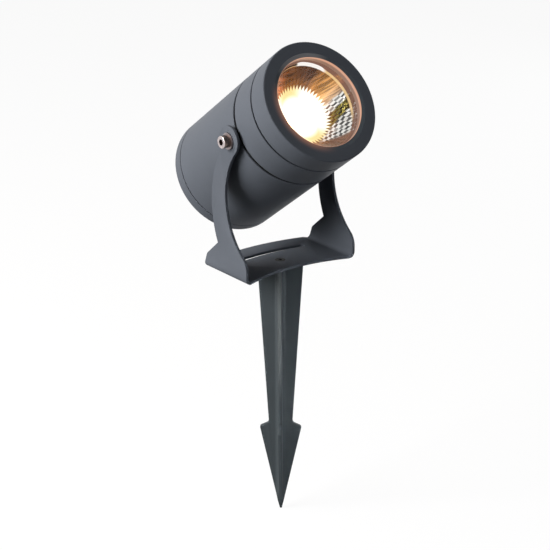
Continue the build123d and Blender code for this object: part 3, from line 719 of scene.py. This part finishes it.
def lit_bowl(tree, at, around, pattern):
    """Painted glow of the bowl: its pattern, and the flutes near the source painted aglow up to a
    toothed edge.
    """
    maths = Maths(tree)
    glow_edge = 22.4
    tooth_slope = 4.4
    lobe_angle = 14
    pattern_light = (0.72, 0.72, 0.72, 1)
    black = (0, 0, 0, 1)
    fringe_light = (0.20, 0.075, 0.016, 1)
    golden_light = (1.09, 0.82, 0.36, 1)
    white_light = (1.43, 1.30, 1.09, 1)
    edge = maths("MULTIPLY_ADD", maths("PINGPONG", around, 0.5), tooth_slope, glow_edge)
    past_edge = maths("SUBTRACT", at.depth, edge)
    lobes = maths("COSINE", maths("MULTIPLY_ADD", at.angle, 2, radians(-2 * lobe_angle)))
    white = maths("MAXIMUM", ease(tree, lobes, -1.0, -0.1), ease(tree, at.depth, 25.8, 28.2))
    glow = blend(tree, white, golden_light, white_light)
    fringe = blend(tree, ease(tree, past_edge, -6.0, 0.5), black, fringe_light)
    seen = blend(tree, 1.0, pattern, pattern_light, "MULTIPLY")
    seen = blend(tree, 1.0, seen, fringe, "ADD")
    return blend(tree, ease(tree, past_edge, -0.4, 0.6), seen, glow)


def bright_rim(tree, at, inner):
    """Painted glow round the rim of the bowl, a painted highlight line at its upper right and a
    painted shadow at its top.
    """
    maths = Maths(tree)
    rim_light = (0.22, 0.117, 0.086, 1)
    highlight_gold = (0.80, 0.55, 0.27, 1)
    highlight_white = (0.98, 0.93, 0.90, 1)
    shadow = (0.012, 0.008, 0.008, 1)
    line_inner = 29.7
    line_outer = 30.9
    rim = blend(tree, ease(tree, at.depth, 10.15, 10.9), rim_light, inner)
    near_top = toward(maths, at, 69)
    outer = maths("ADD", ease(tree, near_top, 0.915, 0.985), line_outer)
    inside_outer = ease(tree, maths("SUBTRACT", at.reach, outer), -0.1, 0.15, 1.0, 0.0)
    upper_right = ease(tree, toward(maths, at, 45), 0.2, 0.6)
    outside_inner = ease(tree, at.reach, line_inner, line_inner + 0.3)
    on_line = maths("MULTIPLY", inside_outer, outside_inner)
    line_tint = blend(tree, ease(tree, near_top, 0.915, 0.955), highlight_gold, highlight_white)
    lined = blend(tree, maths("MULTIPLY", on_line, upper_right), rim, line_tint)
    at_shadow = ease(tree, toward(maths, at, 103), 0.962, 0.978)
    in_shadow = maths("MULTIPLY", at_shadow, inside_outer)
    past_inner = ease(tree, at.reach, line_inner + 0.2, line_inner + 0.5)
    in_shadow = maths("MULTIPLY", in_shadow, past_inner)
    return blend(tree, in_shadow, lined, shadow)


def mirror_material():
    """Mirror coat painted with reflected lines and chequers, and with painted glow on the flutes
    near the source.
    """
    material, tree, shader = new_material(
        "mirror_aluminium_painted_reflection", Metallic=1.0, Emission_Strength=1.0
    )
    maths = Maths(tree)
    plain_mirror = (0.45, 0.45, 0.45, 1)
    chequered_mirror = (0.12, 0.12, 0.12, 1)
    at = head_place(tree)
    around = maths("MULTIPLY", at.angle, facets_around / radians(360))
    half_facet = maths("FLOOR", maths("MULTIPLY", around, 2))
    streaks = add_node(tree, "ShaderNodeTexWhiteNoise", noise_dimensions="1D", W=half_facet)
    streak = streaks.outputs["Value"]
    low_right, dashes = chequered_reflection(tree, at)
    pattern = blend(tree, low_right, warm_reflection(tree, at, streak), dashes)
    mirrored = blend(tree, low_right, plain_mirror, chequered_mirror)
    base = blend(tree, 1.0, pattern, mirrored, "MULTIPLY")
    light = bright_rim(tree, at, lit_bowl(tree, at, around, pattern))
    roughness = maths("MULTIPLY_ADD", streak, 0.08, 0.10)
    tree.links.new(base, shader.inputs["Base Color"])
    tree.links.new(roughness, shader.inputs["Roughness"])
    tree.links.new(light, shader.inputs["Emission Color"])
    return material


reflector = grow(
    "faceted_reflector",
    facet_tree(),
    {
        "Facets Around": facets_around,
        "Facet Rows": facet_rows,
        "Arc Radius": arc_radius,
        "Centre Radius": arc_centre[0],
        "Centre Depth": arc_centre[1],
        "Rim Angle": rim_angle,
        "Bottom Angle": bottom_angle,
        "Flange": flange_width,
        "Place": face_centre,
        "Turn": Vector(head_turn),
        "Material": mirror_material(),
    },
)
# The facets look into the bowl, so that its wall grows outwards from them.
shape = bmesh.new()
shape.from_mesh(reflector.data)
bmesh.ops.recalc_face_normals(shape, faces=shape.faces)
foremost = max(shape.faces, key=lambda face: face.calc_center_median().dot(beam))
if foremost.normal.dot(beam) < 0:
    bmesh.ops.reverse_faces(shape, faces=shape.faces)
shape.to_mesh(reflector.data)
shape.free()
wall = reflector.modifiers.new("wall", "SOLIDIFY")
wall.thickness = wall_thickness
wall.offset = -1
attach(reflector, "head")
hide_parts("reflector")

# ---------------------------------------------------------------- front bezel
# A turned aluminium ring with the same powder coat as the barrel. Painted light makes the upper
# part of the chamfer of its opening paler, and painted glow of the source lies on the wall behind
# the chamfer and as a halo outside the opening at the lower left.

opening_radius = 31.5
chamfer_width = 2.9
ledge_depth = 5.2


def paint_light_at_opening(material):
    """Paints light into the bezel's coat: a paler lit upper chamfer, the source's glow on the wall
    behind it, and a halo at the lower left.
    """
    tree, maths, shader, coat_tone = coat_nodes(material)
    chamfer_shaded_side = srgb(66, 72, 77)
    chamfer_lit_side = srgb(140, 140, 142)
    wall_glow_front = (0.66, 0.33, 0.20, 1)
    wall_glow_back = (0.26, 0.135, 0.085, 1)
    halo_light = (0.21, 0.085, 0.048, 1)
    black = (0, 0, 0, 1)
    at = head_place(tree)
    past_opening = maths("ADD", at.reach, -opening_radius)
    on_chamfer = ease(tree, past_opening, chamfer_width, chamfer_width - 0.4)
    upper = ease(tree, toward(maths, at, 96), 0.72, 1.0)
    chamfer = blend(tree, upper, chamfer_shaded_side, chamfer_lit_side)
    tree.links.new(blend(tree, on_chamfer, coat_tone, chamfer), shader.inputs["Base Color"])
    right_side = ease(tree, toward(maths, at, 18), 0.45, 0.95)
    limit = maths("MULTIPLY_ADD", right_side, 0.6, 0.08)
    on_wall = ease(tree, maths("SUBTRACT", past_opening, limit), 0.2, -0.1)
    ring = add_node(tree, "ShaderNodeValToRGB", Fac=maths("DIVIDE", at.depth, ledge_depth))
    front, rear = ring.color_ramp.elements
    front.color = wall_glow_front
    front.position = 0.30
    rear.color = wall_glow_back
    rear.position = 0.50
    warm = blend(tree, on_wall, black, ring.outputs["Color"])
    low_left = ease(tree, toward(maths, at, 207), 0.45, 1.0)
    bloom = maths("MULTIPLY", low_left, ease(tree, past_opening, 6.0, -0.5))
    outside = maths("MULTIPLY", bloom, ease(tree, at.depth, 1.4, 0.9))
    halo = blend(tree, outside, black, halo_light)
    tree.links.new(blend(tree, 1.0, warm, halo, "ADD"), shader.inputs["Emission Color"])


bezel_coat = variant(powder_coat, "bezel_powder_coat_painted_light", Emission_Strength=1.0)
paint_light_at_opening(bezel_coat)
cover(bezel_coat, "front_bezel")

# ---------------------------------------------------------------- light source
# A chip-on-board light source: a white ceramic board with a round field of yellow phosphor, lit
# warm white, clamped on the heat sink by a white plastic holder.

phosphor, phosphor_tree, phosphor_shader = new_material(
    "lit_phosphor", Base_Color=srgb(250, 215, 110), Roughness=0.5, Emission_Strength=6.0
)
chip_place = add_node(phosphor_tree, "ShaderNodeTexCoord").outputs["Object"]
chips = add_node(phosphor_tree, "ShaderNodeTexVoronoi", Vector=chip_place, Scale=900.0)
chip_light = (1.0, 0.60, 0.36, 1)
gap_light = (1.0, 0.54, 0.30, 1)
phosphor_light = blend(phosphor_tree, chips.outputs["Distance"], chip_light, gap_light)
phosphor_tree.links.new(phosphor_light, phosphor_shader.inputs["Emission Color"])
cover(phosphor, "led_phosphor")

white_plastic = grained(
    "white_plastic",
    srgb(205, 203, 198),
    srgb(226, 224, 219),
    grain_mm=0.5,
    mottle_mm=8,
    rough=(0.4, 0.55),
    relief_mm=0.01,
)
cover(white_plastic, "board_spacers", "terminal_block")
# The board and the holder glow with painted light from the source.
lit_white = variant(
    white_plastic,
    "lit_white_plastic",
    Emission_Color=(1.0, 0.92, 0.80, 1),
    Emission_Strength=1.3,
)
cover(lit_white, "led_substrate", "led_holder")

# ---------------------------------------------------------------- front glass
# A 4 mm disc of clear toughened glass on a grey silicone gasket, held by the bezel. Light from the
# source passes straight through it, and an index below that of real glass keeps reflections faint.


def mix_shaders(tree, share, first, second):
    """Mix of the outputs of two shaders."""
    mix = add_node(tree, "ShaderNodeMixShader", Fac=share)
    tree.links.new(first, mix.inputs[1])
    tree.links.new(second, mix.inputs[2])
    return mix.outputs[0]


glass, glass_tree, glass_shader = new_material(
    "toughened_glass",
    Base_Color=(0.97, 0.99, 0.98, 1),
    Roughness=0.0,
    IOR=1.2,
    Transmission_Weight=1.0,
)
glass_rays = add_node(glass_tree, "ShaderNodeLightPath").outputs
passing = Maths(glass_tree)("MAXIMUM", glass_rays["Is Shadow Ray"], glass_rays["Is Diffuse Ray"])
open_glass = add_node(glass_tree, "ShaderNodeBsdfTransparent")
glass_mix = mix_shaders(glass_tree, passing, glass_shader.outputs[0], open_glass.outputs[0])
glass_tree.links.new(glass_mix, glass_tree.nodes["Material Output"].inputs["Surface"])
cover(glass, "front_glass")
silicone = grained(
    "grey_silicone",
    srgb(120, 120, 118),
    srgb(150, 150, 147),
    grain_mm=0.6,
    mottle_mm=5,
    rough=(0.6, 0.75),
    relief_mm=0.01,
)
cover(silicone, "glass_gasket")

# ---------------------------------------------------------------- inside and gland
# The turned heat sink, the driver on its tray, the wiring and the earth point, all closed in, and
# the cable gland in the rear cover. They are as the CAD model has them, each in its own finish.

# Each entry is a dark and a light tone, how metallic and how rough it is, and its nodes.
finishes = {
    "turned_aluminium": (srgb(175, 177, 180), srgb(205, 207, 210), 1.0, 0.35, ["heat_sink"]),
    "grey_gap_pad": (srgb(120, 122, 130), srgb(140, 142, 150), 0.0, 0.8, ["thermal_pad"]),
    "black_nylon": (
        srgb(20, 20, 21),
        srgb(32, 32, 33),
        0.0,
        0.5,
        ["driver_tray", "gland_body", "gland_cap", "gland_locknut"],
    ),
    "green_board": (srgb(14, 70, 40), srgb(24, 96, 54), 0.0, 0.35, ["driver_board"]),
    "yellow_coil_tape": (srgb(200, 165, 40), srgb(222, 190, 66), 0.0, 0.4, ["driver_transformer"]),
    "black_sleeve": (srgb(16, 17, 24), srgb(28, 29, 38), 0.0, 0.25, ["driver_capacitors"]),
    "plain_brass": (srgb(190, 155, 80), srgb(214, 180, 100), 1.0, 0.3, ["earth_screw"]),
    "earth_sleeve": (srgb(60, 140, 40), srgb(205, 195, 40), 0.0, 0.4, ["earth_lead"]),
    "red_sleeve": (srgb(160, 20, 18), srgb(190, 34, 28), 0.0, 0.4, ["led_lead_positive"]),
    "black_lead_sleeve": (srgb(14, 14, 14), srgb(26, 26, 26), 0.0, 0.4, ["led_lead_negative"]),
}
for finish_name, (dark, light, metallic, roughness, members) in finishes.items():
    finish = grained(
        finish_name,
        dark,
        light,
        grain_mm=0.5,
        mottle_mm=7,
        rough=(roughness - 0.05, roughness + 0.08),
        relief_mm=0.01,
        Metallic=metallic,
    )
    cover(finish, *members)

# ---------------------------------------------------------------- studio
# A pale floor just under the spike's point and a white surround, a large soft light at the left,
# weak ones above, in front, at the right and low at the spike, and the camera of the photograph.

floor_size = 12
floor_gap = 0.0002
bpy.ops.mesh.primitive_plane_add(size=floor_size, location=(0, 0, cad_box[0][2] - floor_gap))
floor = bpy.context.object
floor.name = "floor"


def white_when_seen(tree, dim, white):
    """White for camera, glossy and transmission rays, and dim as a light on the lamp."""
    maths = Maths(tree)
    rays = add_node(tree, "ShaderNodeLightPath").outputs
    seen = maths("MAXIMUM", rays["Is Camera Ray"], rays["Is Glossy Ray"])
    seen = maths("MAXIMUM", seen, rays["Is Transmission Ray"])
    return mix_shaders(tree, seen, dim, white)


paper, paper_tree, paper_shader = new_material("pale_floor")
paper_tree.nodes.remove(paper_shader)
paper_glow_share = 0.93
matte = add_node(paper_tree, "ShaderNodeBsdfDiffuse", Color=(0.07, 0.07, 0.075, 1))
pale = add_node(paper_tree, "ShaderNodeBsdfDiffuse", Color=(0.9, 0.9, 0.9, 1))
glow = add_node(paper_tree, "ShaderNodeEmission", Strength=1.0)
white_paper = mix_shaders(paper_tree, paper_glow_share, pale.outputs[0], glow.outputs[0])
paper_mix = white_when_seen(paper_tree, matte.outputs[0], white_paper)
paper_tree.links.new(paper_mix, paper_tree.nodes["Material Output"].inputs["Surface"])
floor.data.materials.append(paper)

scene = bpy.context.scene
scene.view_settings.view_transform = "Standard"
world = bpy.data.worlds.new("studio")
scene.world = world
world.use_nodes = True
world_tree = world.node_tree
dim_sky = world_tree.nodes["Background"]
dim_sky.inputs["Color"].default_value = (0.93, 0.96, 1.0, 1)
dim_sky.inputs["Strength"].default_value = 0.05
white_sky = add_node(world_tree, "ShaderNodeBackground", Color=(1, 1, 1, 1), Strength=1.0)
world_mix = white_when_seen(world_tree, dim_sky.outputs[0], white_sky.outputs[0])
world_tree.links.new(world_mix, world_tree.nodes["World Output"].inputs["Surface"])

head_target = Vector((0, 0, 0.06))
spike_target = Vector((0, 0, -0.085))
for name, place, aim, size, power, spread, colour in (
    ("key_light", (-1.50, 0.32, 0.72), head_target, (1.1, 0.9), 61.5, 180, (1.0, 0.99, 0.98)),
    ("top_light", (-1.05, 0.85, 1.2), head_target, (0.9, 0.9), 9.0, 180, (1.0, 0.86, 0.76)),
    ("fill_light", (-0.9, -1.5, 0.5), head_target, (1.0, 1.0), 0.5, 180, (0.92, 0.96, 1.0)),
    ("face_light", (0.45, -1.6, 0.22), head_target, (0.5, 0.5), 5.0, 180, (0.95, 0.97, 1.0)),
    ("far_side_light", (1.45, 0.25, 0.16), head_target, (1.0, 0.8), 7.0, 180, (0.97, 0.98, 1.0)),
    ("spike_light", (0.05, -1.25, -0.12), spike_target, (0.3, 0.1), 0.12, 13, (0.95, 0.97, 1.0)),
):
    lamp = bpy.data.lights.new(name, "AREA")
    lamp.shape = "RECTANGLE"
    lamp.size, lamp.size_y = size
    lamp.energy = power
    lamp.spread = radians(spread)
    lamp.color = colour
    holder = bpy.data.objects.new(name, lamp)
    scene.collection.objects.link(holder)
    holder.location = place
    holder.rotation_euler = (aim - Vector(place)).to_track_quat("-Z", "Y").to_euler()

camera_place = (-0.6757, -0.8886, 0.4080)
camera_azimuth = radians(37.06)
camera_height = radians(20.50)
camera_roll = radians(0.213)
right = Vector((cos(camera_azimuth), -sin(camera_azimuth), 0))
back = Vector(
    (
        -sin(camera_azimuth) * cos(camera_height),
        -cos(camera_azimuth) * cos(camera_height),
        sin(camera_height),
    )
)
up = back.cross(right)
turned_right = right * cos(camera_roll) - up * sin(camera_roll)
turned_up = right * sin(camera_roll) + up * cos(camera_roll)
camera = bpy.data.objects.new("camera", bpy.data.cameras.new("camera"))
scene.collection.objects.link(camera)
camera.data.lens = 112.166
camera.data.sensor_width = 36.0
camera.data.clip_start = 0.05
camera.data.clip_end = 60.0
camera.matrix_world = Matrix.Translation(camera_place) @ Matrix(
    (turned_right, turned_up, back)
).transposed().to_4x4()
scene.camera = camera
